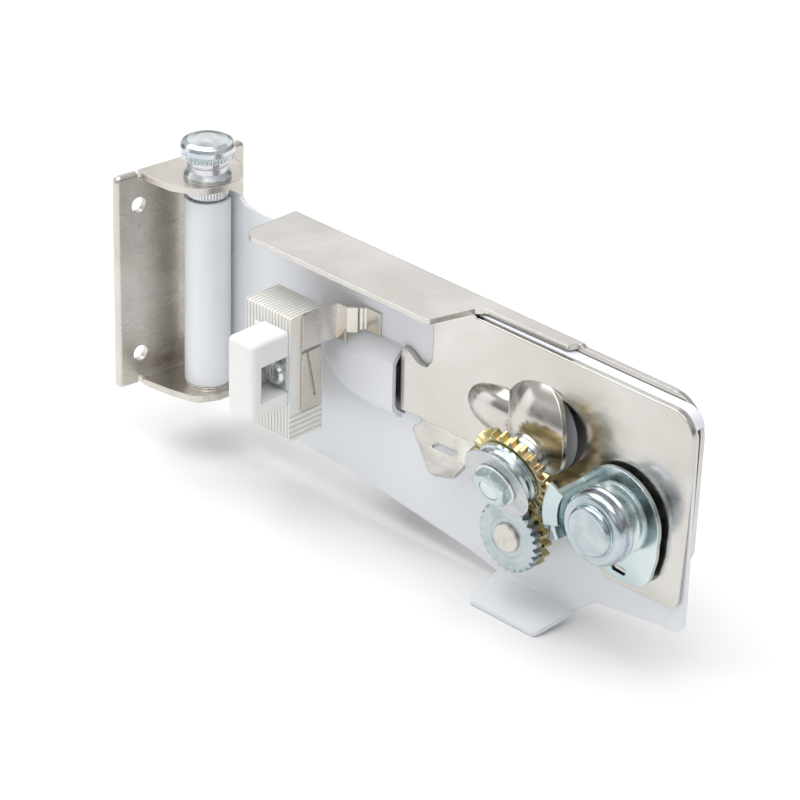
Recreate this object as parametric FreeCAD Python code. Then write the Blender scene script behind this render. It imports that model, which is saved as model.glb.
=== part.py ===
# Wall-mounted manual can opener with a swing-out arm, a lifting handle lever,
# a geared cutter and feed wheel, a crank and a lid magnet.
#
# Row frame: origin at the centre of the bracket's back face, on the wall.
# +X points away from the wall, +Z is up.  The arm hinges on a vertical pin.
# Arm parts are drawn in the arm frame: X along the arm from the hinge axis,
# Y towards the crank side, Z up from the hinge datum.  They are then turned
# by ARM_REST about the hinge axis and moved into the row frame.
import FreeCAD, Part
import math
import os

os.makedirs("parts", exist_ok=True)
V = FreeCAD.Vector

# ---------------- driving dimensions (mm) ----------------
ARM_REST = 7.0          # rest angle of the arm from square to the wall, deg
AXIS_OFF = 15.2         # wall to hinge axis
Z_DATUM = 2.7           # bracket centre above the hinge datum

# wall bracket
BR_W = 46.8
BR_H = 70.0
BR_T = 2.0
BR_HOLE_SY = 31.2       # screw hole spacing across
BR_HOLE_SZ = 49.2       # screw hole spacing up
BR_HOLE_R = 2.5

# hinge barrel and pin
BARREL_R = 7.1
SHEET = 1.4             # frame sheet
BARREL_Z0, BARREL_Z1 = -29.2, 31.5
PIN_R = 5.64
NECK_R = 6.1
HEAD_R = 8.1

# frame plate
FR_Y = 5.7              # front face of the frame plate
FR_X1 = 184.5
FR_TOP = 29.5
FR_FLANGE = 3.4         # depth of the top flange from the front face
FOOT_X0, FOOT_X1 = 116.0, 145.3
FOOT_L = 14.8
FOOT_DROP = 11.0        # deg below level

# lever plates
PL_T = 1.6
PL_Y = 3.8              # front face of the cutter plate
HB_Y0 = 9.35            # front face of the handle plate
LEV_TOP = 31.7
PIV_X, PIV_Z = 162.8, -9.3
PIV_R = 4.0

# cutter set, on an axis tilted down towards the can
CUT_B = V(131.3, -1.0, -1.5)
CUT_TILT = 20.0
CUT_R = 11.6
N_CUT, N_DRV = 22, 18
MOD = 1.127
STUD_R = 3.3

# feed shaft
FD_X, FD_Z = 131.3, -25.5
FD_R = 10.8
FD_TEETH = 26
SH_R = 4.4

# crank
CR_LEN = 62.0
CR_ANG = 190.0


# ---------------- helpers ----------------
def box(x0, y0, z0, x1, y1, z1):
    return Part.makeBox(x1 - x0, y1 - y0, z1 - z0, V(x0, y0, z0))


def cyl_y(x, z, r, y0, y1):
    return Part.makeCylinder(r, y1 - y0, V(x, y0, z), V(0, 1, 0))


def cyl_z(x, y, r, z0, z1):
    return Part.makeCylinder(r, z1 - z0, V(x, y, z0), V(0, 0, 1))


def rwire(pts, to3):
    """Closed wire from (u, v, r) corners; r rounds the corner."""
    n = len(pts)
    segs = []
    for i in range(n):
        a, b, c = pts[i - 1], pts[i], pts[(i + 1) % n]
        r = b[2] if len(b) > 2 else 0.0
        ba = (a[0] - b[0], a[1] - b[1])
        bc = (c[0] - b[0], c[1] - b[1])
        la, lc = math.hypot(*ba), math.hypot(*bc)
        ua, uc = (ba[0] / la, ba[1] / la), (bc[0] / lc, bc[1] / lc)
        if r <= 0:
            segs.append(((b[0], b[1]), None, (b[0], b[1])))
            continue
        cosang = max(-1, min(1, ua[0] * uc[0] + ua[1] * uc[1]))
        half = math.acos(cosang) / 2
        t = min(r / math.tan(half), la * 0.49, lc * 0.49)
        rr = t * math.tan(half)
        p0 = (b[0] + ua[0] * t, b[1] + ua[1] * t)
        p1 = (b[0] + uc[0] * t, b[1] + uc[1] * t)
        bis = (ua[0] + uc[0], ua[1] + uc[1])
        lb = math.hypot(*bis)
        d = rr / math.sin(half)
        cen = (b[0] + bis[0] / lb * d, b[1] + bis[1] / lb * d)
        mid = (cen[0] - bis[0] / lb * rr, cen[1] - bis[1] / lb * rr)
        segs.append((p0, mid, p1))
    edges = []
    for i in range(n):
        p0, mid, p1 = segs[i]
        if mid is not None:
            edges.append(Part.Arc(to3(*p0), to3(*mid), to3(*p1)).toShape())
        q = segs[(i + 1) % n][0]
        if math.hypot(q[0] - p1[0], q[1] - p1[1]) > 1e-6:
            edges.append(Part.makeLine(to3(*p1), to3(*q)))
    return Part.Wire(edges)


def prism_xz(pts, y0, y1):
    w = rwire(pts, lambda u, v: V(u, y0, v))
    return Part.Face(w).extrude(V(0, y1 - y0, 0))


def prism_xy(pts, z0, z1):
    w = rwire(pts, lambda u, v: V(u, v, z0))
    return Part.Face(w).extrude(V(0, 0, z1 - z0))


def prism_yz(pts, x0, x1):
    w = rwire(pts, lambda u, v: V(x0, u, v))
    return Part.Face(w).extrude(V(x1 - x0, 0, 0))


def revolve(profile, base, axis):
    """Solid of revolution: profile is (r, h) along axis from base."""
    pts = [V(r, 0, h) for r, h in profile]
    f = Part.Face(Part.makePolygon(pts + [pts[0]]))
    s = f.revolve(V(0, 0, 0), V(0, 0, 1), 360)
    s = Part.Solid(s) if s.ShapeType != "Solid" else s
    return on_axis(s, base, axis)


def on_axis(s, base, axis):
    s = s.copy()
    s.Placement = FreeCAD.Placement(
        base, FreeCAD.Rotation(V(0, 0, 1), axis)).multiply(s.Placement)
    return s


def toothed(n, r_root, r_tip, f_root, f_tip, thick, phase):
    """Toothed disc along +Z; f_root, f_tip are tooth widths as a part of the pitch."""
    p = 2 * math.pi / n
    pts = []
    for i in range(n):
        c = math.radians(phase) + i * p
        for r, a in ((r_root, -f_root / 2), (r_tip, -f_tip / 2),
                     (r_tip, f_tip / 2), (r_root, f_root / 2)):
            pts.append(V(r * math.cos(c + a * p), r * math.sin(c + a * p), 0))
    f = Part.Face(Part.makePolygon(pts + [pts[0]]))
    return f.extrude(V(0, 0, thick))


def fillet_where(s, r, cond):
    es = [e for e in s.Edges if cond(e)]
    if not es:
        return s
    try:
        t = s.makeFillet(r, es)
        if t.isValid() and len(t.Solids) == len(s.Solids):
            return t
    except Exception:
        pass
    return s


def mid(e):
    return e.valueAt((e.FirstParameter + e.LastParameter) / 2)


def along(e, axis, tol=1e-3):
    if e.Curve.TypeId != "Part::GeomLine":
        return False
    d = e.Curve.Direction
    return abs(abs(d.dot(axis)) - 1) < tol


def strip(pts, t, z0, z1):
    """Upright sheet following plan points, thickness t."""
    out = None
    for i in range(len(pts) - 1):
        (xa, ya), (xb, yb) = pts[i], pts[i + 1]
        l = math.hypot(xb - xa, yb - ya)
        b = Part.makeBox(l, t, z1 - z0, V(0, -t / 2, z0))
        b.rotate(V(0, 0, 0), V(0, 0, 1), math.degrees(math.atan2(yb - ya, xb - xa)))
        b.translate(V(xa, ya, 0))
        out = b if out is None else out.fuse(b)
        if i > 0:
            out = out.fuse(cyl_z(xa, ya, t / 2, z0, z1))
    return out.removeSplitter()


NODES = {}


def arc_pts(cr, ch, r, a0, a1, n=7):
    return [(cr + r * math.cos(math.radians(a0 + (a1 - a0) * i / (n - 1))),
             ch + r * math.sin(math.radians(a0 + (a1 - a0) * i / (n - 1)))) for i in range(n)]


def keep(name, s, arm=True):
    s = s.copy()
    if arm:
        s.rotate(V(0, 0, 0), V(0, 0, 1), ARM_REST)
        s.translate(V(AXIS_OFF, 0, -Z_DATUM))
    NODES[name] = s


Y = V(0, 1, 0)
X = V(1, 0, 0)
Z = V(0, 0, 1)
nY = V(0, -1, 0)

# ---------------- wall bracket (row frame) ----------------
h2, w2 = BR_H / 2, BR_W / 2
br = box(0, -w2, -h2, BR_T, w2, h2)
br = fillet_where(br, 2.0, lambda e: along(e, X))
br = fillet_where(br, 1.3, lambda e: along(e, Z) and mid(e).x > BR_T - 0.1)
tab = [(0.2, -14.6), (5.0, -14.6, 2), (14.0, -13.0, 6), (22.6, -7.4, 7), (23.9, 0.0, 14),
       (22.6, 7.4, 7), (14.0, 13.0, 6), (5.0, 14.6, 2), (0.2, 14.6)]
top_tab = prism_xy(tab, h2 - BR_T, h2)
bt = [(0.2, -15.2), (5.0, -15.2, 2), (14.0, -12.8, 6), (22.6, -9.4, 5), (25.8, 0.0, 14),
      (22.6, 9.4, 5), (14.0, 12.8, 6), (5.0, 15.2, 2), (0.2, 15.2)]
bot_tab = prism_xy(bt, -h2, -h2 + BR_T)
br = br.fuse([top_tab, bot_tab]).removeSplitter()
# bend reliefs beside the tabs
for s in (-1, 1):
    br = br.cut(box(-1, s * 15.2 - 0.6, h2 - 2.6, 9, s * 15.2 + 0.6, h2 + 1))
    br = br.cut(box(-1, s * 15.8 - 0.6, -h2 - 1, 9, s * 15.8 + 0.6, -h2 + 2.6))
# outside bend radii at the wall side
br = fillet_where(br, 2.2, lambda e: along(e, Y) and abs(mid(e).x) < 0.01
                  and abs(abs(mid(e).z) - h2) < 0.01 and abs(mid(e).y) < 5)
# inside bend radii
br = fillet_where(br, 1.2, lambda e: along(e, Y) and abs(mid(e).x - BR_T) < 0.01
                  and abs(abs(mid(e).z) - (h2 - BR_T)) < 0.01)
# raised seat round the lower pin hole
br = br.fuse(cyl_z(AXIS_OFF, 0, 7.4, -h2 + BR_T - 0.01, -h2 + BR_T + 1.0))
# pin holes
br = br.cut(cyl_z(AXIS_OFF, 0, 6.3, 0, h2 + 1))
br = br.cut(cyl_z(AXIS_OFF, 0, PIN_R + 0.04, -h2 - 1, 0))
# grease notch in the front of the lower tab
br = br.cut(box(24.6, -1.6, -h2 - 1, 30, 1.6, -h2 + BR_T + 0.2))
for sy in (-1, 1):
    for sz in (-1, 1):
        y, z = sy * BR_HOLE_SY / 2, sz * BR_HOLE_SZ / 2
        br = br.cut(Part.makeCylinder(BR_HOLE_R, BR_T + 2, V(-1, y, z), X))
keep("wall_bracket", br, arm=False)

# ---------------- hinge pin ----------------
zt = h2 + Z_DATUM               # top of the bracket in the arm frame
zb = -h2 + Z_DATUM
pin = revolve([(0, zb + 0.3), (PIN_R - 0.8, zb + 0.3), (PIN_R, zb + 1.1), (PIN_R, 31.8),
               (NECK_R - 0.1, 31.9), (NECK_R - 0.1, zt), (7.1, zt + 0.02), (7.1, zt + 1.1),
               (NECK_R, zt + 2.5), (NECK_R, zt + 4.2), (NECK_R - 0.35, zt + 4.35),
               (NECK_R - 0.35, zt + 4.7), (NECK_R, zt + 4.85), (NECK_R, zt + 6.2),
               (6.9, zt + 6.4), (7.7, zt + 8.4), (HEAD_R, zt + 8.7), (HEAD_R, zt + 10.2),
               (7.5, zt + 11.2), (6.0, zt + 11.8), (3.5, zt + 12.2), (0, zt + 12.3)],
              V(0, 0, 0), Z)
k1 = toothed(44, 7.35, 7.95, 0.9, 0.25, 1.9, 0)
k1.translate(V(0, 0, zt + 6.55))
k2 = toothed(40, 6.0, 6.24, 0.9, 0.25, 3.1, 0)
k2.translate(V(0, 0, 32.0))
pin = pin.fuse([k1, k2])
keep("hinge_pin", pin)

# ---------------- frame ----------------
plate = prism_xz([(0, BARREL_Z1), (7.8, BARREL_Z1, 1.5), (9.8, FR_TOP, 1.5), (FR_X1, FR_TOP, 9),
                  (FR_X1, -39.6, 7), (176.5, -39.6, 10), (152.9, -42.9, 4), (145.3, -49.2, 0),
                  (FOOT_X0, -49.2, 0), (114.6, -49.0, 1), (105.8, -46.9, 14), (54.0, -40.7, 30),
                  (22.0, -39.6, 10), (12.4, -38.4, 4), (12.2, BARREL_Z0, 0.8), (0, BARREL_Z0)],
                 FR_Y, FR_Y + SHEET)
ring = cyl_z(0, 0, BARREL_R, BARREL_Z0, BARREL_Z1).cut(cyl_z(0, 0, BARREL_R - SHEET, BARREL_Z0 - 1, BARREL_Z1 + 1))
wedge = prism_xy([(0, 0), (20 * math.cos(math.radians(33)), 20 * math.sin(math.radians(33))),
                  (20, 20), (0, 20)], BARREL_Z0 - 2, BARREL_Z1 + 2)
ring = ring.cut(wedge)
# the roll's sheet meets the plate at X = 0
frame = ring.fuse(plate)
# top flange turned back
fl = prism_xz([(32, FR_TOP), (FR_X1, FR_TOP, 9), (FR_X1, 18), (FR_X1 - SHEET, 18), (FR_X1 - SHEET, FR_TOP - SHEET, 7.6),
               (32, FR_TOP - SHEET)], FR_Y, FR_Y + FR_FLANGE)
fl = fl.cut(box(181.0, 0, 10, 190, 20, 24.5))
frame = frame.fuse(fl)
# foot
cf, sf = math.cos(math.radians(FOOT_DROP)), math.sin(math.radians(FOOT_DROP))
ue = (FR_Y - FOOT_L * cf, -48.6 - FOOT_L * sf)
le = (ue[0] + SHEET * sf, ue[1] - SHEET * cf)
foot = prism_yz([(FR_Y + SHEET, -46), (FR_Y, -46), (FR_Y, -48.6, 0.8), ue, le,
                 (FR_Y + SHEET, -49.76, 1.6)], FOOT_X0, FOOT_X1)
fplan = prism_xy([(FOOT_X0, 20), (FOOT_X0, FR_Y - 2, 3), (FOOT_X0 + 2.0, ue[0] - 0.5, 3.2),
                  (FOOT_X1 - 2.0, ue[0] - 0.5, 3.2), (FOOT_X1, FR_Y - 2, 3), (FOOT_X1, 20)], -60, -40)
foot = foot.common(fplan)
frame = frame.fuse(foot)


# louvre: a D-shaped scoop, open on its right side
def dwire(scale, y, x_lip, zc, zh, xl):
    zt_, zb_ = zc + zh * scale, zc - zh * scale
    xl_ = x_lip - (x_lip - xl) * scale
    pts = [V(x_lip, y, zt_), V(x_lip - (x_lip - xl_) * 0.42, y, zt_ - 0.2),
           V(x_lip - (x_lip - xl_) * 0.78, y, zc + zh * scale * 0.62),
           V(xl_, y, zc),
           V(x_lip - (x_lip - xl_) * 0.86, y, zc - zh * scale * 0.66),
           V(x_lip - (x_lip - xl_) * 0.52, y, zb_ + 0.25), V(x_lip, y, zb_)]
    c = Part.BSplineCurve()
    c.interpolate(pts)
    return Part.Wire([c.toShape(), Part.makeLine(pts[-1], pts[0])])


L_LIP, L_ZC = 76.2, -3.4
outer = Part.makeLoft([dwire(1.0, FR_Y + 0.01, L_LIP, L_ZC, 11.6, 43.0),
                       dwire(0.86, FR_Y - 2.4, L_LIP, L_ZC, 11.6, 43.0),
                       dwire(0.62, FR_Y - 4.3, L_LIP, L_ZC, 11.6, 43.0)], True, False)
inner = Part.makeLoft([dwire(0.96, FR_Y + SHEET + 0.2, L_LIP + 1, L_ZC, 10.8, 44.5),
                       dwire(0.86, FR_Y - 0.6, L_LIP + 1, L_ZC, 10.8, 44.5),
                       dwire(0.60, FR_Y - 2.95, L_LIP + 1, L_ZC, 10.8, 44.5)], True, False)
frame = frame.fuse(outer).cut(inner)
# holes
frame = frame.cut(cyl_y(PIV_X, PIV_Z, PIV_R, -10, 20))
frame = frame.cut(cyl_y(FD_X, FD_Z, 5.5, -10, 20))
frame = fillet_where(frame, 0.5, lambda e: abs(mid(e).z - FR_TOP) < 0.01 and abs(mid(e).y - FR_Y) < 0.01 and 30 < mid(e).x < 175)
keep("frame", frame)

# ---------------- pivot parts ----------------
stud = cyl_y(PIV_X, PIV_Z, PIV_R, -8.4, 12.0).fuse(
    revolve([(0, 0), (6.6, 0), (6.6, 0.5), (5.8, 1.1), (0, 1.3)], V(PIV_X, 11.05, PIV_Z), Y))
keep("pivot_stud", stud.removeSplitter())
keep("rear_pivot_spacer", cyl_y(PIV_X, PIV_Z, 7.0, FR_Y + SHEET, HB_Y0 - 0.1).cut(cyl_y(PIV_X, PIV_Z, PIV_R, 0, 20)))
GB = 0.8                                  # front face of the guide bracket
keep("front_pivot_spacer", cyl_y(PIV_X, PIV_Z, 6.6, GB + 1.4, PL_Y - 0.1).cut(cyl_y(PIV_X, PIV_Z, PIV_R, 0, 20)))

# zinc guide bracket round the cap: disc, lower lobe, left turned-up wall with a lip
gb = cyl_y(PIV_X, PIV_Z, 15.0, GB, GB + 1.4)
lobe = prism_xz([(154.0, PIV_Z), (154.6, -26.4, 6), (165.0, -28.2, 8), (174.6, -27.4, 6.5), (177.4, -17.0, 10), (177.6, PIV_Z)],
                GB, GB + 1.4)
gb = gb.fuse(lobe)
lip_cut = prism_xz([(PIV_X, PIV_Z), (PIV_X - 30, PIV_Z + 17), (PIV_X - 30, PIV_Z - 20)], -12, 1.0)
wall = cyl_y(PIV_X, PIV_Z, 14.9, -9.8, GB + 0.7).cut(cyl_y(PIV_X, PIV_Z, 13.5, -12, 3)).common(lip_cut)
lip_sec = prism_xz([(PIV_X, PIV_Z), (PIV_X - 30, PIV_Z + 17), (PIV_X - 30, PIV_Z - 9)], -12, 1.0)
lip = cyl_y(PIV_X, PIV_Z, 17.6, -9.9, -8.7).cut(cyl_y(PIV_X, PIV_Z, 12.2, -12, 3)).common(lip_sec)
gb = gb.fuse([wall, lip]).removeSplitter()
gb = gb.cut(cyl_y(PIV_X, PIV_Z, PIV_R, -10, 10))
gb = gb.cut(prism_xz([(162.0, -25.9, 0.9), (167.2, -26.2, 0.9), (167.2, -23.9, 0.9), (162.0, -23.6, 0.9)], -3, 3))
gb = fillet_where(gb, 0.4, lambda e: abs(mid(e).y - GB) < 0.01 and math.hypot(mid(e).x - PIV_X, mid(e).z - PIV_Z) > 15.0 and e.Length > 4)
keep("guide_bracket", gb)

keep("spring_washer", revolve([(4.3, -4.8), (9.4, -1.1), (10.6, -0.6), (10.6, 0), (9.3, 0), (4.3, -4.1)],
                              V(PIV_X, GB, PIV_Z), Y))
cap = revolve([(0, 0), (10.8, 0), (11.1, 0.3), (11.1, 0.9), (10.7, 1.5), (10.7, 2.0)] + arc_pts(8.9, 3.5, 2.0, -8, 82, 9)
              + [(8.0, 5.42), (7.75, 5.3)] + arc_pts(5.9, 5.6, 1.6, 0, 65, 7) + arc_pts(0, -3.2, 10.55, 80, 90, 5)[1:-1] + [(0, 7.35)],
              V(PIV_X, -4.3, PIV_Z), nY)
cap = cap.cut(cyl_y(PIV_X, PIV_Z, PIV_R + 0.05, -8.6, 0))
keep("roller_cap", cap)

# ---------------- cutter plate (front plate of the lever) ----------------
cp = prism_xz([(89.2, LEV_TOP - PL_T), (104.4, LEV_TOP - PL_T), (105.0, 29.2, 1), (185.4, 29.2, 7.5), (183.4, -31.6, 9),
               (176.6, -31.6, 6), (157.5, -32.2, 2), (153.4, -28.4, 5), (147.6, -17.6, 7), (141.0, -15.6, 6), (121.0, -15.4, 6), (114.5, -10.4, 4),
               (86.3, -10.4, 0), (76.9, -11.2, 1.2), (76.9, 9.4, 0.8), (80.4, 9.0, 3),
               (83.8, 6.4, 3), (87.0, 6.4, 2.2), (89.2, 9.6, 2)], PL_Y, PL_Y + PL_T)
# rim guide tab, turned 45 deg towards the can
TA = math.radians(45)


def tab3(u, l):
    return V(86.3 + u, PL_Y - l * math.sin(TA), -10.4 - l * math.cos(TA))


tw = rwire([(0, -0.7), (0, 1.6, 0.8), (-2.0, 3.4, 1.4), (12.1, 13.4, 2.6), (19.6, 11.4, 2.6), (21.3, 6.6, 2.2),
            (19.6, 3.6, 2), (20.8, -0.7)], tab3)
tabs = Part.Face(tw).extrude(V(0, PL_T * math.cos(TA), -PL_T * math.sin(TA)))
slot = Part.Face(rwire([(7.2, 6.3, 0.3), (9.3, 4.4, 0.3), (17.3, 4.2, 0.3), (15.2, 6.3, 0.3)], tab3)).extrude(
    V(0, 6 * math.cos(TA), -6 * math.sin(TA)))
slot.translate(V(0, -2 * math.cos(TA), 2 * math.sin(TA)))
cp = cp.fuse([tabs, cyl_y(0, 0, 1, 500, 501)]).cut(box(-5, 480, -5, 5, 520, 5)).removeSplitter()
cp = cp.cut(slot)
# hood: pressed cowl that carries the cutter stud, its crown square to the tilted axis.
# A sphere on the left runs on as a cylinder to the right, where its edge is sheared open.
tl = math.radians(CUT_TILT)
ax_n = V(0, -math.cos(tl), -math.sin(tl))
ax_u = V(0, -math.sin(tl), math.cos(tl))
HR = 19.0
hc = CUT_B - ax_n * HR
TRIM_X, TRIM_Z, TRIM_R = CUT_B.x - 0.4, hc.z, 14.0


def cowl(r, trim):
    left = Part.makeSphere(r, hc).common(box(60, -60, -60, CUT_B.x, 60, 60))
    right = Part.makeCylinder(r, 24, V(CUT_B.x, hc.y, hc.z), X).common(cyl_y(TRIM_X, TRIM_Z, trim, -40, 40))
    return left.fuse(right)


def ellipsoid(c, a, b, d):
    m = FreeCAD.Matrix(a, 0, 0, c.x, 0, b, 0, c.y, 0, 0, d, c.z, 0, 0, 0, 1)
    return Part.makeSphere(1.0).transformGeometry(m)


front = box(60, -60, -60, 200, PL_Y + 0.4, 60)
back = box(60, -60, -60, 200, PL_Y + PL_T + 1, 60)
cp = cp.fuse(cowl(HR, TRIM_R).common(front))
cp = cp.fuse(ellipsoid(V(116.8, PL_Y + 0.4, 4.2), 13.0, 4.9, 7.4).common(front))
cp = cp.cut(cowl(HR - PL_T, TRIM_R + 0.03).common(back))
cp = cp.cut(ellipsoid(V(116.8, PL_Y + 0.4, 4.2), 11.5, 3.4, 6.0).common(back))
cp = cp.fuse(Part.makeCylinder(6.4, 2.2, CUT_B - ax_n * 2.2, ax_n)).cut(Part.makeCylinder(6.4, 6, CUT_B, ax_n))
cp = cp.cut(cyl_y(PIV_X, PIV_Z, PIV_R + 0.05, -10, 20))
cp = cp.cut(Part.makeCylinder(STUD_R, 10, CUT_B - ax_n * 6, ax_n))
cp = max(cp.Solids, key=lambda s: s.Volume)
cp = fillet_where(cp, 0.35, lambda e: abs(mid(e).y - PL_Y) < 0.01 and (mid(e).z > 20 or mid(e).x > 181 or mid(e).z < -30) and e.Length > 2)
keep("cutter_plate", cp)

# ---------------- handle lever: plate behind the frame with a wide top flange ----------------
hp = prism_xz([(26.0, LEV_TOP), (139.5, LEV_TOP, 1.2), (140.6, 31.0, 0.8), (183.5, 31.0, 11), (182.6, -18.0, 8), (172.0, -27.0, 9),
               (153.0, -26.0, 9), (146.0, -10.0, 10), (122.0, -9.0, 16), (84.0, -17.0, 20), (44.0, -17.0, 12), (26.0, 8.0, 10)],
              HB_Y0, HB_Y0 + PL_T)
tf = prism_xy([(26.0, HB_Y0 + PL_T, 1.5), (25.6, -10.7, 5.2), (100.6, -10.7, 1.4), (104.9, 4.0, 1.5), (107.2, 6.2, 1.5),
               (137.2, 6.6, 1.2), (139.2, HB_Y0 + PL_T, 0)], LEV_TOP - PL_T, LEV_TOP)
hl = hp.fuse(tf).removeSplitter()
hl = fillet_where(hl, 1.2, lambda e: along(e, X) and abs(mid(e).z - LEV_TOP) < 0.01 and abs(mid(e).y - (HB_Y0 + PL_T)) < 0.01)
hl = fillet_where(hl, 0.5, lambda e: abs(mid(e).z - LEV_TOP) < 0.01 and mid(e).y < 0)
hl = hl.cut(cyl_y(PIV_X, PIV_Z, PIV_R + 0.05, 0, 30))
keep("handle_lever", hl)

# ---------------- cutter set ----------------
def cut_rev(profile):
    return revolve(profile, CUT_B, ax_n)


stud2 = cut_rev([(0, -2.4), (STUD_R, -2.4), (STUD_R, 16.7), (2.6, 17.1), (0, 17.25)])
keep("cutter_stud", stud2)
keep("gear_spacer", cut_rev([(STUD_R, 0), (6.2, 0), (6.2, 1.5), (5.5, 1.7), (5.5, 2.5), (6.2, 2.7), (6.2, 4.75), (STUD_R, 4.75)]))
R1 = MOD * N_CUT / 2
R2 = MOD * N_DRV / 2
g1 = toothed(N_CUT, R1 - 1.3, R1 + 0.75, 0.56, 0.22, 2.8, -90)
g1 = on_axis(g1, CUT_B + ax_n * 4.9, ax_n)
g1 = g1.cut(Part.makeCylinder(STUD_R + 0.05, 30, CUT_B - ax_n * 3, ax_n))
keep("cutter_gear", g1)
keep("cutter_hub", cut_rev([(STUD_R + 0.05, 7.7), (9.7, 7.7), (10.2, 8.0), (10.2, 9.2), (9.5, 9.7), (9.5, 10.7), (8.9, 11.7), (STUD_R + 0.05, 11.7)]))
keep("cutter_wheel", cut_rev([(STUD_R + 0.05, 11.7), (9.3, 11.7), (CUT_R, 13.35), (CUT_R - 0.05, 13.5), (STUD_R + 0.05, 13.5)]))
keep("lock_washer", cut_rev([(STUD_R, 13.6), (6.9, 13.6), (6.9, 14.1), (6.5, 14.3), (STUD_R, 14.3)]))
hexa = Part.Face(Part.makePolygon([V(6.05 * math.cos(math.radians(a)), 6.05 * math.sin(math.radians(a)), 0) for a in range(20, 381, 60)]))
nut = hexa.extrude(V(0, 0, 2.7))
nut = nut.common(revolve([(0, 0), (6.2, 0), (6.2, 1.9), (5.1, 2.7), (0, 2.7)], V(0, 0, 0), Z))
nut = on_axis(nut, CUT_B + ax_n * 14.3, ax_n).cut(Part.makeCylinder(STUD_R, 30, CUT_B, ax_n))
keep("cutter_nut", nut)

# ---------------- feed shaft set ----------------
def fd(profile):
    return revolve(profile, V(FD_X, 0, FD_Z), nY)   # height grows towards the can


fshaft = fd([(0, -18.2), (3.0, -18.2), (3.4, -17.8), (3.4, -13.0), (SH_R, -13.0), (SH_R, 8.9), (SH_R - 0.4, 9.25), (0, 9.3)])
keep("feed_shaft", fshaft)
fw = toothed(FD_TEETH, FD_R - 1.1, FD_R, 0.92, 0.30, 2.8, 90)
fw = on_axis(fw, V(FD_X, -5.6, FD_Z), nY)
fw = fw.common(fd([(0, 5.6), (FD_R + 0.1, 5.6), (FD_R + 0.1, 8.0), (FD_R - 0.9, 8.4), (0, 8.4)]))
fw = fw.cut(fd([(0, 8.15), (6.0, 8.15), (6.2, 8.5), (0, 8.5)])).cut(cyl_y(FD_X, FD_Z, SH_R, -20, 20))
keep("feed_wheel", fw)
keep("feed_spacer", cyl_y(FD_X, FD_Z, 7.4, -5.6, -4.4).cut(cyl_y(FD_X, FD_Z, SH_R, -20, 20)))
g2 = toothed(N_DRV, R2 - 1.3, R2 + 0.75, 0.56, 0.22, 2.8, 100)
g2 = on_axis(g2, V(FD_X, -1.6, FD_Z), nY).cut(cyl_y(FD_X, FD_Z, SH_R, -20, 20))
keep("drive_gear", g2)
keep("shaft_collar", cyl_y(FD_X, FD_Z, 6.2, -1.6, 2.5).cut(cyl_y(FD_X, FD_Z, SH_R, -20, 20)))
bush = cyl_y(FD_X, FD_Z, 6.6, 2.6, FR_Y).fuse([cyl_y(FD_X, FD_Z, 5.5, FR_Y, FR_Y + SHEET), cyl_y(FD_X, FD_Z, 6.6, FR_Y + SHEET, 10.9)])
bush = bush.cut(cyl_y(FD_X, FD_Z, SH_R + 0.05, 0, 20)).removeSplitter()
keep("feed_bush", bush)
keep("thrust_washer", cyl_y(FD_X, FD_Z, 8.0, 11.0, 13.0).cut(cyl_y(FD_X, FD_Z, SH_R, -20, 20)))

# ---------------- crank ----------------
ca, sa = math.cos(math.radians(CR_ANG)), math.sin(math.radians(CR_ANG))


def crk(u, v):
    return (FD_X + u * ca - v * sa, FD_Z + u * sa + v * ca)


def crank_prism(pts, y0, y1):
    return prism_xz([(*crk(p[0], p[1]), p[2] if len(p) > 2 else 0) for p in pts], y0, y1)


arm = crank_prism([(-8, -8, 7.9), (6, -8, 12), (CR_LEN + 6, -6, 5.9), (CR_LEN + 6, 6, 5.9), (6, 8, 12), (-8, 8, 7.9)], 13.0, 15.2)
rib = crank_prism([(11, -2.6, 2.5), (CR_LEN - 9, -1.9, 1.8), (CR_LEN - 9, 1.9, 1.8), (11, 2.6, 2.5)], 15.1, 15.8)
arm = arm.fuse(rib)
kx, kz = crk(CR_LEN, 0)
arm = arm.cut(cyl_y(FD_X, FD_Z, 3.4, 0, 30)).cut(cyl_y(kx, kz, 2.4, 0, 30))
arm = fillet_where(arm, 0.5, lambda e: abs(mid(e).y - 15.2) < 0.01 and e.Length > 8)
keep("crank_arm", arm)
hexb = Part.Face(Part.makePolygon([V(6.4 * math.cos(math.radians(a)), 6.4 * math.sin(math.radians(a)), 0) for a in range(0, 361, 60)]))
cn = hexb.extrude(V(0, 0, 3.2)).common(revolve([(0, 0), (6.5, 0), (6.5, 2.4), (5.6, 3.2), (0, 3.2)], V(0, 0, 0), Z))
cn = on_axis(cn, V(FD_X, 15.2, FD_Z), Y).cut(cyl_y(FD_X, FD_Z, 3.4, 0, 30))
keep("crank_nut", cn)
kp = revolve([(0, -1.0), (4.2, -1.0), (4.2, 0), (2.4, 0), (2.4, 30.5), (0, 30.5)], V(kx, 13.0, kz), Y)
kp = kp.fuse(revolve([(0, 28.9), (3.9, 28.9), (3.9, 29.6), (2.6, 30.8), (0, 31.2)], V(kx, 13.0, kz), Y)).removeSplitter()
keep("knob_pin", kp)
knob = revolve([(2.45, 0), (6.2, 0), (7.6, 0.7), (8.3, 2.4), (8.0, 6.0), (7.6, 11), (8.1, 17), (8.9, 21.5), (8.6, 24.4),
                (7.2, 26.0), (5.2, 26.4), (5.2, 25.6), (2.45, 25.6)], V(kx, 15.5, kz), Y)
keep("crank_knob", knob)

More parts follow.
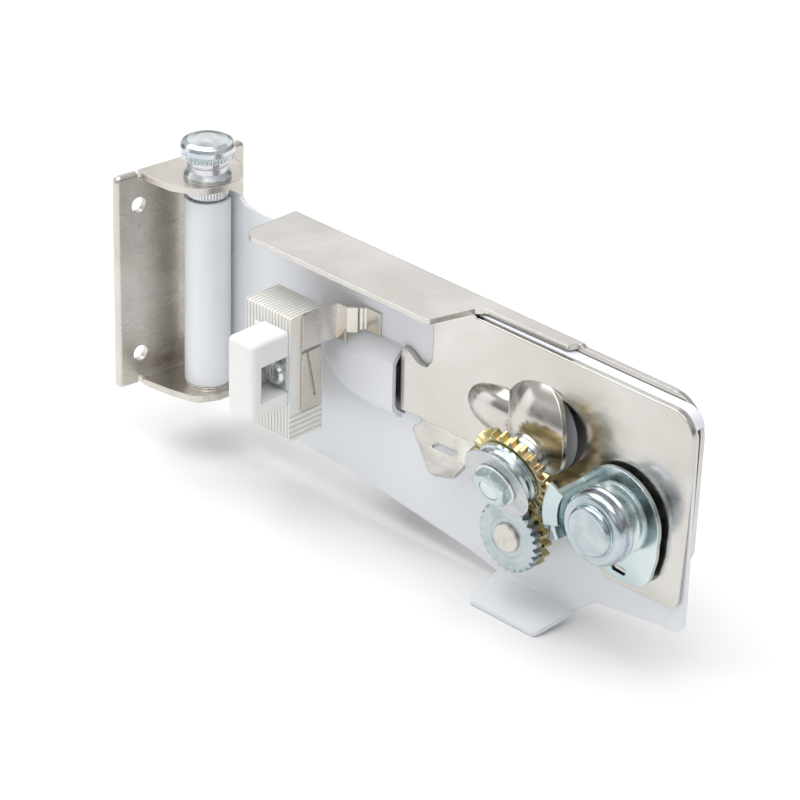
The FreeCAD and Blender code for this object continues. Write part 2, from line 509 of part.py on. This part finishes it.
# ---------------- lid magnet ----------------
AX_X, AX_Y = 60.4, 4.4
clip = strip([(61.3, FR_Y - 0.46), (67.3, FR_Y - 0.46)], 0.9, 8.5, 15.5).fuse(
    cyl_z(AX_X, AX_Y, 0.95, 8.5, 15.5)).fuse(strip([(60.9, 4.7), (61.6, FR_Y - 0.46)], 0.9, 8.5, 15.5)).removeSplitter()
keep("magnet_clip", clip)
ma = strip([(52.55, -12.0), (52.55, -4.4), (53.6, 1.2), (57.6, 1.5), (59.69, 3.56)], 0.9, 7.4, 15.5)
ma = ma.fuse(strip([(52.55, -12.0), (52.55, -4.4), (53.6, 1.2), (57.2, 1.47)], 0.9, 4.2, 7.5)).removeSplitter()
ma = ma.fuse(box(52.1, -12.0, -15.6, 53.0, -4.4, 3.1)).removeSplitter()
# slanted slot in the side plate
sl = prism_yz([(-10.6, 3.0, 0.5), (-9.6, 3.2, 0.5), (-6.2, -12.0, 0.5), (-7.4, -12.2, 0.5)], 50, 55)
ma = ma.cut(sl)
keep("magnet_arm", ma)

hs = box(33.0, -16.0, -24.6, 52.1, -3.0, 15.5)
hs = fillet_where(hs, 0.9, lambda e: mid(e).x < 33.01 or (mid(e).y < -15.9 and abs(mid(e).x - 52.1) > 0.01))
for i in range(14):                       # upright ribs on the front and top
    x = 33.9 + i * 1.3
    hs = hs.cut(box(x, -17.0, -26.0, x + 0.45, -15.75, 16.5))
    hs = hs.cut(box(x, -17.0, 15.25, x + 0.45, -2.0, 16.5))
for i in range(5):                        # level ribs low on the right side
    z = -23.6 + i * 1.7
    hs = hs.cut(box(51.85, -17.0, z, 53.0, -2.0, z + 0.45))
MX, MZ = 46.9, -3.2
hs = hs.cut(box(37.0, -16.5, -12.6, 50.4, -7.0, 10.0))
hs = hs.cut(cyl_y(MX, MZ, 2.0, -20, 0))
hs = max(hs.Solids, key=lambda s: s.Volume)
keep("magnet_housing", hs)
mg = box(37.0, -15.4, -12.6, 50.4, -7.0, 10.0).cut(cyl_y(MX, MZ, 2.0, -20, 0))
keep("magnet", mg)
pp = box(37.0, -16.0, -12.6, 50.4, -15.4, 10.0).cut(cyl_y(MX, MZ, 2.0, -20, 0))
keep("pole_plate", pp)
mc = box(40.4, -30.0, -13.6, 51.2, -16.0, 11.0)
mc = fillet_where(mc, 1.5, lambda e: mid(e).y < -16.1)
mc = mc.cut(box(42.4, -26.6, -8.6, 60.0, -15.0, 3.2))
keep("magnet_cap", mc)
ms = revolve([(0, 0), (3.5, 0), (3.7, 0.4), (3.7, 1.5), (2.9, 2.3), (0, 2.5)], V(MX, -16.0, MZ), nY)
ms = ms.cut(box(MX - 0.45, -19.5, MZ - 5, MX + 0.45, -17.7, MZ + 5))
ms = ms.fuse(cyl_y(MX, MZ, 2.0, -16.2, -3.4)).removeSplitter()
keep("magnet_screw", ms)

# ---------------- write ----------------
for n, s in NODES.items():
    if len(s.Solids) == 1:
        s = s.Solids[0]
    s.exportStep("parts/%s.step" % n)
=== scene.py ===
import math
import bpy
import bmesh
from mathutils import Matrix, Vector


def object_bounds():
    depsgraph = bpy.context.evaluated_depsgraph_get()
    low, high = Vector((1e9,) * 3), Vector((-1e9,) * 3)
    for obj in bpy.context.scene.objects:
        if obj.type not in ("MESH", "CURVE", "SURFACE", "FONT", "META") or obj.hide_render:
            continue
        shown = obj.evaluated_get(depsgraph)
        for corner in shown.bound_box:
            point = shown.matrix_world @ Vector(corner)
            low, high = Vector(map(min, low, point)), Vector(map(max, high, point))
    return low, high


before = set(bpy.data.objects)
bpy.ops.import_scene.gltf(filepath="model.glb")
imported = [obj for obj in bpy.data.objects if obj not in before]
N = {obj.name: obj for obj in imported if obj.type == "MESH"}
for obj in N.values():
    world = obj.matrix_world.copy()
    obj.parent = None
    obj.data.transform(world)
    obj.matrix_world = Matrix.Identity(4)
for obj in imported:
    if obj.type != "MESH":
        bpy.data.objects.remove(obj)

CAD_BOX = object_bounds()
scene = bpy.context.scene

ARM_REST = math.radians(7.0)
CUT_TILT = math.radians(20.0)


def arm(x, y, z):
    """Point in the arm frame, mm, to the row frame, metres."""
    c, s = math.cos(ARM_REST), math.sin(ARM_REST)
    return Vector((15.2 + x * c - y * s, x * s + y * c, z - 2.7)) / 1000.0


def arm_dir(x, y, z):
    c, s = math.cos(ARM_REST), math.sin(ARM_REST)
    return Vector((x * c - y * s, x * s + y * c, z))


# ------------------------------------------------------------------ materials
class Tree:
    def __init__(self, name):
        self.mat = bpy.data.materials.new(name)
        self.mat.use_nodes = True
        self.nt = self.mat.node_tree
        self.nt.nodes.clear()
        self.out = self.n("ShaderNodeOutputMaterial")
        self.p = self.n("ShaderNodeBsdfPrincipled")
        self.l(self.p, "BSDF", self.out, "Surface")

    def n(self, kind, **kw):
        node = self.nt.nodes.new(kind)
        for k, v in kw.items():
            setattr(node, k, v)
        return node

    def l(self, a, ao, b, bi):
        self.nt.links.new(a.outputs[ao], b.inputs[bi])

    def coords(self, scale=(1, 1, 1), rot=(0, 0, 0), loc=(0, 0, 0)):
        tc = self.n("ShaderNodeTexCoord")
        m = self.n("ShaderNodeMapping")
        m.inputs["Location"].default_value = loc
        m.inputs["Rotation"].default_value = rot
        m.inputs["Scale"].default_value = scale
        self.l(tc, "Object", m, "Vector")
        return m

    def noise(self, scale, detail=3.0, rough=0.5, coords=None, distortion=0.0):
        t = self.n("ShaderNodeTexNoise")
        t.inputs["Scale"].default_value = scale
        t.inputs["Detail"].default_value = detail
        t.inputs["Roughness"].default_value = rough
        t.inputs["Distortion"].default_value = distortion
        self.l(coords or self.coords(), "Vector", t, "Vector")
        return t

    def ramp(self, src, out, stops, interp="LINEAR"):
        r = self.n("ShaderNodeValToRGB")
        r.color_ramp.interpolation = interp
        els = r.color_ramp.elements
        els[0].position, els[0].color = stops[0][0], (*stops[0][1], 1)
        els[1].position, els[1].color = stops[-1][0], (*stops[-1][1], 1)
        for p, c in stops[1:-1]:
            e = els.new(p)
            e.color = (*c, 1)
        self.l(src, out, r, "Fac")
        return r

    def range(self, src, out, a, b, lo=0.0, hi=1.0):
        m = self.n("ShaderNodeMapRange")
        m.inputs["From Min"].default_value = lo
        m.inputs["From Max"].default_value = hi
        m.inputs["To Min"].default_value = a
        m.inputs["To Max"].default_value = b
        self.l(src, out, m, "Value")
        return m

    def mix(self, fac, a, b, kind="MIX"):
        m = self.n("ShaderNodeMix", data_type="RGBA", blend_type=kind)
        for sock, v in ((m.inputs[0], fac), (m.inputs[6], a), (m.inputs[7], b)):
            if isinstance(v, tuple) and isinstance(v[0], bpy.types.Node):
                self.nt.links.new(v[0].outputs[v[1]], sock)
            else:
                sock.default_value = v if not isinstance(v, tuple) else (*v, 1)
        return m

    def edge(self, radius, lo=0.02, hi=0.25):
        """1 on outside and inside corners, 0 on flats; the mask for the painted edge highlights."""
        bv = self.n("ShaderNodeBevel", samples=6)
        bv.inputs["Radius"].default_value = radius
        g = self.n("ShaderNodeNewGeometry")
        d = self.n("ShaderNodeVectorMath", operation="DOT_PRODUCT")
        self.l(bv, "Normal", d, 0)
        self.l(g, "Normal", d, 1)
        r = self.range(d, "Value", 1.0, 0.0, 1.0 - hi, 1.0 - lo)
        return bv, r

    def bump(self, src, out, strength, dist, normal=None):
        b = self.n("ShaderNodeBump")
        b.inputs["Strength"].default_value = strength
        b.inputs["Distance"].default_value = dist
        self.l(src, out, b, "Height")
        if normal:
            self.l(normal[0], normal[1], b, "Normal")
        self.l(b, "Normal", self.p, "Normal")
        return b


def set_in(p, **kw):
    names = {"metal": "Metallic", "rough": "Roughness", "coat": "Coat Weight", "coat_rough": "Coat Roughness",
             "sss": "Subsurface Weight", "sss_scale": "Subsurface Scale", "spec": "Specular IOR Level", "aniso": "Anisotropic"}
    for k, v in kw.items():
        p.inputs[names[k]].default_value = v


def plated(name, base, dark, tint, edge_wear_and_highlight_col, rough=(0.12, 0.26), brushed=None, edge_r=0.00035, edge_amt=0.55, spots=0.25, bump=0.06):
    """Plated sheet or turned metal: clouded tone, small smears, edges and inside corners painted lighter as a
    highlight (a real copper edge tint on the strip).
    """
    t = Tree(name)
    set_in(t.p, metal=1.0)
    big = t.noise(28.0, 3.0, 0.55, distortion=0.6)
    tone = t.ramp(big, "Fac", [(0.30, dark), (0.52, base), (0.72, tint)])
    fine = t.noise(900.0, 2.0, 0.6)
    speck = t.ramp(fine, "Fac", [(0.60, (0, 0, 0)), (0.74, (1, 1, 1))])
    sp = t.n("ShaderNodeMath", operation="MULTIPLY")
    t.l(speck, "Color", sp, 0)
    sp.inputs[1].default_value = spots
    c1 = t.mix((sp, "Value"), (tone, "Color"), tuple(v * 0.72 for v in dark))
    # Edges and inside corners mixed toward the edge colour: a painted edge highlight on nickel and zinc, a real
    # copper edge tint on the strip.
    bv, em = t.edge(edge_r)
    ea = t.n("ShaderNodeMath", operation="MULTIPLY")
    t.l(em, "Result", ea, 0)
    ea.inputs[1].default_value = edge_amt
    c2 = t.mix((ea, "Value"), (c1, 2), edge_wear_and_highlight_col)
    t.l(c2, 2, t.p, "Base Color")
    smear = t.noise(70.0, 4.0, 0.6, coords=t.coords(scale=(1, 1, 2.2)), distortion=1.2)
    rr = t.range(smear, "Fac", rough[0], rough[1], 0.3, 0.72)
    t.l(rr, "Result", t.p, "Roughness")
    if brushed:
        br = t.noise(260.0, 3.0, 0.7, coords=t.coords(scale=brushed))
        t.bump(br, "Fac", bump, 0.0002, (bv, "Normal"))
    else:
        t.bump(fine, "Fac", bump, 0.00012, (bv, "Normal"))
    return t.mat


def turned(name, base, dark, edge_wear_and_highlight_col, centre, axis, pitch=0.00045, rough=(0.2, 0.34), strength=0.16, edge_amt=0.5, tint=None, speck=0.0):
    """Turned part with fine rings about its own axis."""
    t = Tree(name)
    set_in(t.p, metal=1.0)
    tc = t.n("ShaderNodeTexCoord")
    sub = t.n("ShaderNodeVectorMath", operation="SUBTRACT")
    t.l(tc, "Object", sub, 0)
    sub.inputs[1].default_value = centre
    dot = t.n("ShaderNodeVectorMath", operation="DOT_PRODUCT")
    t.l(sub, "Vector", dot, 0)
    dot.inputs[1].default_value = axis
    ln = t.n("ShaderNodeVectorMath", operation="LENGTH")
    t.l(sub, "Vector", ln, 0)
    a2 = t.n("ShaderNodeMath", operation="POWER")
    t.l(ln, "Value", a2, 0)
    a2.inputs[1].default_value = 2
    b2 = t.n("ShaderNodeMath", operation="POWER")
    t.l(dot, "Value", b2, 0)
    b2.inputs[1].default_value = 2
    d2 = t.n("ShaderNodeMath", operation="SUBTRACT")
    t.l(a2, "Value", d2, 0)
    t.l(b2, "Value", d2, 1)
    r = t.n("ShaderNodeMath", operation="SQRT")
    t.l(d2, "Value", r, 0)
    k = t.n("ShaderNodeMath", operation="MULTIPLY")
    t.l(r, "Value", k, 0)
    k.inputs[1].default_value = 1.0 / pitch
    rings = t.n("ShaderNodeTexNoise", noise_dimensions="1D")
    rings.inputs["Scale"].default_value = 1.0
    rings.inputs["Detail"].default_value = 3.0
    t.l(k, "Value", rings, "W")
    cloud = t.noise(120.0, 3.0, 0.6, distortion=0.8)
    tone = t.ramp(cloud, "Fac", [(0.32, dark), (0.55, base), (0.75, tint or base)])
    c1 = t.mix(0.22, (tone, "Color"), (rings, "Color"), "OVERLAY")
    # Edges and inside corners mixed toward the lighter edge colour: painted edge highlight.
    bv, em = t.edge(0.0003)
    ea = t.n("ShaderNodeMath", operation="MULTIPLY")
    t.l(em, "Result", ea, 0)
    ea.inputs[1].default_value = edge_amt
    hsv = t.n("ShaderNodeHueSaturation")
    hsv.inputs["Saturation"].default_value = 0.9
    t.l(c1, 2, hsv, "Color")
    c2 = t.mix((ea, "Value"), (hsv, "Color"), edge_wear_and_highlight_col)
    t.l(c2, 2, t.p, "Base Color")
    rr = t.range(cloud, "Fac", rough[0], rough[1], 0.3, 0.7)
    t.l(rr, "Result", t.p, "Roughness")
    t.bump(rings, "Fac", strength, 0.00008, (bv, "Normal"))
    return t.mat


def painted(name, base, shade, edge_wear_and_highlight_col, rough=(0.26, 0.38), peel=0.10, edge_amt=0.35):
    """Sprayed enamel: faint orange peel; edges and inside corners painted lighter as a highlight."""
    t = Tree(name)
    set_in(t.p, coat=0.35, coat_rough=0.12, spec=0.5)
    big = t.noise(18.0, 3.0, 0.5)
    tone = t.ramp(big, "Fac", [(0.3, shade), (0.7, base)])
    # Edges and inside corners mixed toward the lighter edge colour: painted edge highlight.
    bv, em = t.edge(0.0004)
    ea = t.n("ShaderNodeMath", operation="MULTIPLY")
    t.l(em, "Result", ea, 0)
    ea.inputs[1].default_value = edge_amt
    c = t.mix((ea, "Value"), (tone, "Color"), edge_wear_and_highlight_col)
    dirt = t.noise(1400.0, 2.0, 0.6)
    dm = t.ramp(dirt, "Fac", [(0.69, (0, 0, 0)), (0.78, (1, 1, 1))])
    dk = t.n("ShaderNodeMath", operation="MULTIPLY")
    t.l(dm, "Color", dk, 0)
    dk.inputs[1].default_value = 0.06
    c2 = t.mix((dk, "Value"), (c, 2), (0.42, 0.42, 0.42))
    t.l(c2, 2, t.p, "Base Color")
    rr = t.range(big, "Fac", rough[0], rough[1], 0.3, 0.7)
    t.l(rr, "Result", t.p, "Roughness")
    pl = t.noise(620.0, 2.0, 0.45)
    t.bump(pl, "Fac", peel, 0.00018, (bv, "Normal"))
    return t.mat


def moulded(name, base, shade, rough=(0.34, 0.48), sss=0.12, grain=0.10):
    """Moulded plastic with a fine satin grain and slightly translucent body."""
    t = Tree(name)
    set_in(t.p, sss=sss, sss_scale=0.0015, spec=0.45)
    big = t.noise(60.0, 3.0, 0.55, distortion=0.4)
    tone = t.ramp(big, "Fac", [(0.3, shade), (0.7, base)])
    # Edges and inside corners mixed toward a lighter copy of the base: painted edge highlight.
    bv, em = t.edge(0.0004)
    ea = t.n("ShaderNodeMath", operation="MULTIPLY")
    t.l(em, "Result", ea, 0)
    ea.inputs[1].default_value = 0.3
    c = t.mix((ea, "Value"), (tone, "Color"), tuple(min(1.0, v * 1.06 + 0.02) for v in base))
    t.l(c, 2, t.p, "Base Color")
    rr = t.range(big, "Fac", rough[0], rough[1], 0.3, 0.7)
    t.l(rr, "Result", t.p, "Roughness")
    g = t.noise(2200.0, 2.0, 0.5)
    t.bump(g, "Fac", grain, 0.00006, (bv, "Normal"))
    return t.mat


n_cut = arm_dir(0, -math.cos(CUT_TILT), -math.sin(CUT_TILT))
n_arm = arm_dir(0, -1, 0)
P_CUT = arm(131.3, -1.0, -1.5)
P_FD = arm(131.3, 0, -25.5)
P_PIV = arm(162.8, 0, -9.3)
P_PIN = arm(0, 0, 0)

WARM = (0.62, 0.60, 0.565)
M_NICKEL = plated("nickel_sheet", WARM, (0.575, 0.55, 0.51), (0.70, 0.68, 0.645), (0.82, 0.78, 0.72), brushed=(0.15, 1, 6), spots=0.16, edge_amt=0.7)
M_BRACKET = plated("nickel_bracket", (0.66, 0.625, 0.57), (0.56, 0.53, 0.48), (0.74, 0.71, 0.66), (0.84, 0.80, 0.74),
                   rough=(0.20, 0.36), brushed=(1, 6, 0.3), spots=0.30, bump=0.10)
M_FRAME = painted("white_enamel", (0.815, 0.835, 0.87), (0.79, 0.81, 0.845), (0.86, 0.875, 0.90))
M_PIN = turned("zinc_pin", (0.68, 0.73, 0.75), (0.52, 0.58, 0.61), (0.88, 0.91, 0.93), P_PIN, Vector((0, 0, 1)), strength=0.08, rough=(0.14, 0.28),
               tint=(0.76, 0.79, 0.80))
M_ZINC = plated("bright_zinc", (0.70, 0.73, 0.74), (0.54, 0.59, 0.61), (0.80, 0.81, 0.80), (0.90, 0.91, 0.91), rough=(0.16, 0.32), spots=0.2)
M_TEAL = plated("blue_zinc", (0.56, 0.65, 0.66), (0.40, 0.50, 0.52), (0.70, 0.76, 0.75), (0.82, 0.87, 0.87), rough=(0.14, 0.30), spots=0.15)
M_GOLD = plated("yellow_chromate", (0.66, 0.545, 0.28), (0.45, 0.42, 0.22), (0.74, 0.56, 0.40), (0.84, 0.76, 0.54), rough=(0.18, 0.34), spots=0.3)
M_CUTTER = turned("ground_cutter", (0.58, 0.595, 0.60), (0.44, 0.475, 0.49), (0.90, 0.92, 0.93), P_CUT, n_cut, rough=(0.20, 0.34), strength=0.2)
M_HUB = turned("cutter_hub_zinc", (0.50, 0.60, 0.62), (0.36, 0.46, 0.49), (0.84, 0.88, 0.88), P_CUT, n_cut, rough=(0.14, 0.26), tint=(0.66, 0.72, 0.71))
M_FEED = turned("feed_wheel_steel", (0.50, 0.565, 0.585), (0.37, 0.445, 0.47), (0.86, 0.90, 0.90), P_FD, n_arm, rough=(0.24, 0.40), strength=0.2)
M_CAP = turned("cap_zinc", (0.53, 0.59, 0.61), (0.38, 0.46, 0.49), (0.88, 0.92, 0.92), P_PIV, n_arm, rough=(0.18, 0.32), strength=0.14, pitch=0.0006)
M_SHAFT = turned("shaft_end", (0.66, 0.62, 0.56), (0.52, 0.49, 0.45), (0.84, 0.80, 0.74), P_FD, n_arm, rough=(0.24, 0.38), strength=0.2)
M_STRIP = plated("copper_tint_nickel", (0.68, 0.635, 0.575), (0.58, 0.49, 0.40), (0.76, 0.73, 0.69), (0.74, 0.54, 0.40), rough=(0.16, 0.32), edge_amt=0.7, spots=0.15)
M_CLIP = plated("spring_nickel", (0.72, 0.69, 0.64), (0.58, 0.55, 0.50), (0.80, 0.78, 0.74), (0.86, 0.80, 0.72), rough=(0.14, 0.28), spots=0.1)
M_PLASTIC = moulded("white_plastic", (0.83, 0.83, 0.79), (0.78, 0.775, 0.73))
M_CAPWHITE = moulded("white_plastic_cap", (0.86, 0.86, 0.845), (0.82, 0.82, 0.805), rough=(0.3, 0.42))
M_KNOB = moulded("black_knob", (0.035, 0.035, 0.037), (0.022, 0.022, 0.024), rough=(0.34, 0.5), sss=0.0, grain=0.2)
M_MAG = moulded("ferrite", (0.06, 0.06, 0.065), (0.035, 0.035, 0.04), rough=(0.5, 0.7), sss=0.0, grain=0.4)

LOOK = {
    "wall_bracket": M_BRACKET, "hinge_pin": M_PIN, "frame": M_FRAME, "feed_bush": M_ZINC, "pivot_stud": M_ZINC,
    "rear_pivot_spacer": M_ZINC, "front_pivot_spacer": M_ZINC, "guide_bracket": M_TEAL, "spring_washer": M_TEAL,
    "magnet_clip": M_CLIP, "cutter_plate": M_NICKEL, "handle_lever": M_NICKEL, "cutter_stud": M_ZINC, "gear_spacer": M_ZINC,
    "lock_washer": M_ZINC, "cutter_nut": M_TEAL, "cutter_gear": M_GOLD, "cutter_hub": M_HUB, "cutter_wheel": M_CUTTER,
    "feed_shaft": M_SHAFT, "feed_wheel": M_FEED, "feed_spacer": M_ZINC, "drive_gear": M_GOLD, "shaft_collar": M_ZINC,
    "thrust_washer": M_ZINC, "crank_arm": M_NICKEL, "crank_nut": M_ZINC, "knob_pin": M_ZINC, "crank_knob": M_KNOB,
    "roller_cap": M_CAP, "magnet_arm": M_STRIP, "magnet_housing": M_PLASTIC, "magnet": M_MAG, "pole_plate": M_ZINC,
    "magnet_cap": M_CAPWHITE, "magnet_screw": M_ZINC,
}
for name, mat in LOOK.items():
    o = N[name]
    o.data.materials.clear()
    o.data.materials.append(mat)

# ------------------------------------------------------------------ floor
lo, hi = CAD_BOX
floor_z = min(v[2] for v in CAD_BOX) - 0.0002
fm = bpy.data.meshes.new("floor")
S = 6.0
fm.from_pydata([(-S, -S, floor_z), (S, -S, floor_z), (S, S, floor_z), (-S, S, floor_z)], [], [(0, 1, 2, 3)])
floor = bpy.data.objects.new("floor", fm)
scene.collection.objects.link(floor)
ft = Tree("pale_floor")
set_in(ft.p, rough=0.55, spec=0.25)
fn = ft.noise(3.0, 2.0, 0.5)
fr = ft.ramp(fn, "Fac", [(0.3, (0.87, 0.87, 0.87)), (0.7, (0.89, 0.89, 0.89))])
ft.l(fr, "Color", ft.p, "Base Color")
floor.data.materials.append(ft.mat)

# ------------------------------------------------------------------ light
world = bpy.data.worlds.new("studio")
scene.world = world
world.use_nodes = True
wt = world.node_tree
wt.nodes.clear()
wo = wt.nodes.new("ShaderNodeOutputWorld")
wb = wt.nodes.new("ShaderNodeBackground")
wc = wt.nodes.new("ShaderNodeTexCoord")
ws = wt.nodes.new("ShaderNodeSeparateXYZ")
wr = wt.nodes.new("ShaderNodeValToRGB")
wm = wt.nodes.new("ShaderNodeMapRange")
wm.inputs["From Min"].default_value = -1.0
wt.links.new(wc.outputs["Generated"], ws.inputs["Vector"])
wt.links.new(ws.outputs["Z"], wm.inputs["Value"])
wt.links.new(wm.outputs["Result"], wr.inputs["Fac"])
els = wr.color_ramp.elements
els[0].position, els[0].color = 0.0, (0.85, 0.85, 0.86, 1)
els[1].position, els[1].color = 1.0, (1.0, 1.0, 1.0, 1)
for p, c in ((0.46, 0.80), (0.50, 0.36), (0.58, 0.48), (0.68, 0.84), (0.80, 0.95)):
    e = els.new(p)
    e.color = (c, c, c * 1.01, 1)
wt.links.new(wr.outputs["Color"], wb.inputs["Color"])
wb.inputs["Strength"].default_value = 0.62
wt.links.new(wb.outputs["Background"], wo.inputs["Surface"])


def area(name, loc, target, size, power, colour=(1, 1, 1)):
    d = bpy.data.lights.new(name, "AREA")
    d.shape = "RECTANGLE"
    d.size, d.size_y = size
    d.energy = power
    d.color = colour
    o = bpy.data.objects.new(name, d)
    scene.collection.objects.link(o)
    o.location = loc
    o.rotation_euler = (Vector(target) - Vector(loc)).to_track_quat("-Z", "Y").to_euler()
    return o


area("key", (-0.40, -0.25, 1.10), (0.08, 0.02, 0.0), (1.2, 0.9), 8.2)
area("top", (0.40, -0.15, 1.20), (0.09, 0.0, 0.0), (1.0, 0.9), 7.2)
area("front", (0.75, -0.95, 0.45), (0.09, 0.0, -0.02), (0.5, 0.35), 0.6, (0.97, 0.985, 1.0))
area("left", (-0.62, -0.75, 0.22), (0.12, 0.0, 0.0), (0.45, 0.5), 0.7)
area("back", (-0.80, 0.78, 0.68), (0.09, 0.0, 0.0), (1.1, 0.55), 1.05)

# ------------------------------------------------------------------ camera
az, el, roll = math.radians(43.87 + 7.0), math.radians(28.5), math.radians(-1.53)
right = Vector((math.cos(az), math.sin(az), 0))
fwd = Vector((-math.sin(az) * math.cos(el), math.cos(az) * math.cos(el), -math.sin(el)))
down = fwd.cross(right)
c, s = math.cos(roll), math.sin(roll)
r2 = right * c + down * s
d2 = down * c - right * s
cam_d = bpy.data.cameras.new("camera")
cam_d.lens = 162.0
cam_d.sensor_width = 36.0
cam_d.clip_start = 0.01
cam_d.clip_end = 50.0
cam = bpy.data.objects.new("camera", cam_d)
scene.collection.objects.link(cam)
m = Matrix((r2, -d2, -fwd)).transposed().to_4x4()
m.translation = arm(706.8, -651.3, 485.3)
cam.matrix_world = m
scene.camera = cam

scene.view_settings.view_transform = "Standard"
